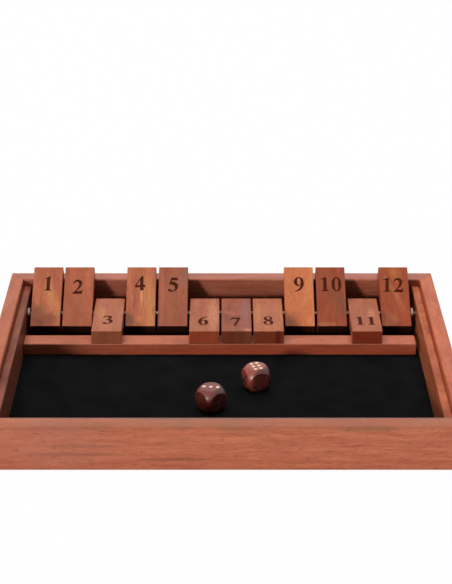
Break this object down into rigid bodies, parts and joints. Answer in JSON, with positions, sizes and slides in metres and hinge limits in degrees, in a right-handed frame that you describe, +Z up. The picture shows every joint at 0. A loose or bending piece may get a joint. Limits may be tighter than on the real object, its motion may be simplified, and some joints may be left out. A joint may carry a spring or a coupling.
{
  "type": "flip tile number game box",
  "caption": "Shallow wooden game tray with a felt floor, a row of numbered flip tiles on a steel rod, a rail they fall on, and loose wooden dice.",
  "frame": {"origin": "middle of the underside, on the surface that the tray stands on", "axes": "+X along the row of tiles from tile 1 to tile 12, +Y from the player's side to the back, +Z up"},
  "size_m": [0.34, 0.2494, 0.0458],
  "materials": {
    "front_wall": "oiled hardwood, satin",
    "back_wall": "oiled hardwood, satin",
    "left_wall": "oiled hardwood, satin",
    "right_wall": "oiled hardwood, satin",
    "left_ledge_strip": "oiled hardwood, satin",
    "right_ledge_strip": "oiled hardwood, satin",
    "base_panel": "plain plywood, unfinished underside",
    "felt_lining": "matt short-pile felt",
    "stop_rail": "oiled hardwood, satin",
    "tile_rod": "drawn steel, semi-bright",
    "left_collar": "turned steel, semi-bright",
    "right_collar": "turned steel, semi-bright",
    "number_tile_01": "oiled hardwood, satin",
    "number_tile_02": "oiled hardwood, satin",
    "number_tile_03": "oiled hardwood, satin",
    "number_tile_04": "oiled hardwood, satin",
    "number_tile_05": "oiled hardwood, satin",
    "number_tile_06": "oiled hardwood, satin",
    "number_tile_07": "oiled hardwood, satin",
    "number_tile_08": "oiled hardwood, satin",
    "number_tile_09": "oiled hardwood, satin",
    "number_tile_10": "oiled hardwood, satin",
    "number_tile_11": "oiled hardwood, satin",
    "number_tile_12": "oiled hardwood, satin",
    "die_1": "polished, glossy, pale brass pips",
    "die_2": "polished, glossy, pale brass pips"
  },
  "bodies": {
    "tray": {"front_wall": "front_wall", "back_wall": "back_wall", "left_wall": "left_wall", "right_wall": "right_wall", "left_ledge_strip": "left_ledge_strip", "right_ledge_strip": "right_ledge_strip", "base_panel": "base_panel", "felt_lining": "felt_lining", "stop_rail": "stop_rail", "tile_rod": "tile_rod", "left_collar": "left_collar", "right_collar": "right_collar"},
    "tile_01": {"number_tile_01": "number_tile_01"},
    "tile_02": {"number_tile_02": "number_tile_02"},
    "tile_03": {"number_tile_03": "number_tile_03"},
    "tile_04": {"number_tile_04": "number_tile_04"},
    "tile_05": {"number_tile_05": "number_tile_05"},
    "tile_06": {"number_tile_06": "number_tile_06"},
    "tile_07": {"number_tile_07": "number_tile_07"},
    "tile_08": {"number_tile_08": "number_tile_08"},
    "tile_09": {"number_tile_09": "number_tile_09"},
    "tile_10": {"number_tile_10": "number_tile_10"},
    "tile_11": {"number_tile_11": "number_tile_11"},
    "tile_12": {"number_tile_12": "number_tile_12"},
    "die_1": {"die_1": "die_1"},
    "die_2": {"die_2": "die_2"}
  },
  "joints": [
    {"name": "tile_01_flip", "type": "hinge", "parent": "tray", "child": "tile_01", "pos_m": [-0.13812, 0.0788, 0.0202], "axis": [1, 0, 0], "range_deg": [0, 149.59]},
    {"name": "tile_02_flip", "type": "hinge", "parent": "tray", "child": "tile_02", "pos_m": [-0.11317, 0.0788, 0.0202], "axis": [1, 0, 0], "range_deg": [0, 149.59]},
    {"name": "tile_03_flip", "type": "hinge", "parent": "tray", "child": "tile_03", "pos_m": [-0.08831, 0.0788, 0.0202], "axis": [1, 0, 0], "range_deg": [-149.59, 0]},
    {"name": "tile_04_flip", "type": "hinge", "parent": "tray", "child": "tile_04", "pos_m": [-0.06366, 0.0788, 0.0202], "axis": [1, 0, 0], "range_deg": [0, 149.59]},
    {"name": "tile_05_flip", "type": "hinge", "parent": "tray", "child": "tile_05", "pos_m": [-0.03832, 0.0788, 0.0202], "axis": [1, 0, 0], "range_deg": [0, 149.59]},
    {"name": "tile_06_flip", "type": "hinge", "parent": "tray", "child": "tile_06", "pos_m": [-0.01324, 0.0788, 0.0202], "axis": [1, 0, 0], "range_deg": [-149.59, 0]},
    {"name": "tile_07_flip", "type": "hinge", "parent": "tray", "child": "tile_07", "pos_m": [0.01158, 0.0788, 0.0202], "axis": [1, 0, 0], "range_deg": [-149.59, 0]},
    {"name": "tile_08_flip", "type": "hinge", "parent": "tray", "child": "tile_08", "pos_m": [0.03635, 0.0788, 0.0202], "axis": [1, 0, 0], "range_deg": [-149.59, 0]},
    {"name": "tile_09_flip", "type": "hinge", "parent": "tray", "child": "tile_09", "pos_m": [0.06148, 0.0788, 0.0202], "axis": [1, 0, 0], "range_deg": [0, 149.59]},
    {"name": "tile_10_flip", "type": "hinge", "parent": "tray", "child": "tile_10", "pos_m": [0.08671, 0.0788, 0.0202], "axis": [1, 0, 0], "range_deg": [0, 149.59]},
    {"name": "tile_11_flip", "type": "hinge", "parent": "tray", "child": "tile_11", "pos_m": [0.11183, 0.0788, 0.0202], "axis": [1, 0, 0], "range_deg": [-149.59, 0]},
    {"name": "tile_12_flip", "type": "hinge", "parent": "tray", "child": "tile_12", "pos_m": [0.13706, 0.0788, 0.0202], "axis": [1, 0, 0], "range_deg": [0, 149.59]},
    {"name": "die_1_lift", "type": "slide", "parent": "tray", "child": "die_1", "axis": [0, 0, 1], "range_m": [0, 0.08]},
    {"name": "die_2_lift", "type": "slide", "parent": "tray", "child": "die_2", "axis": [0, 0, 1], "range_m": [0, 0.08]}
  ]
}
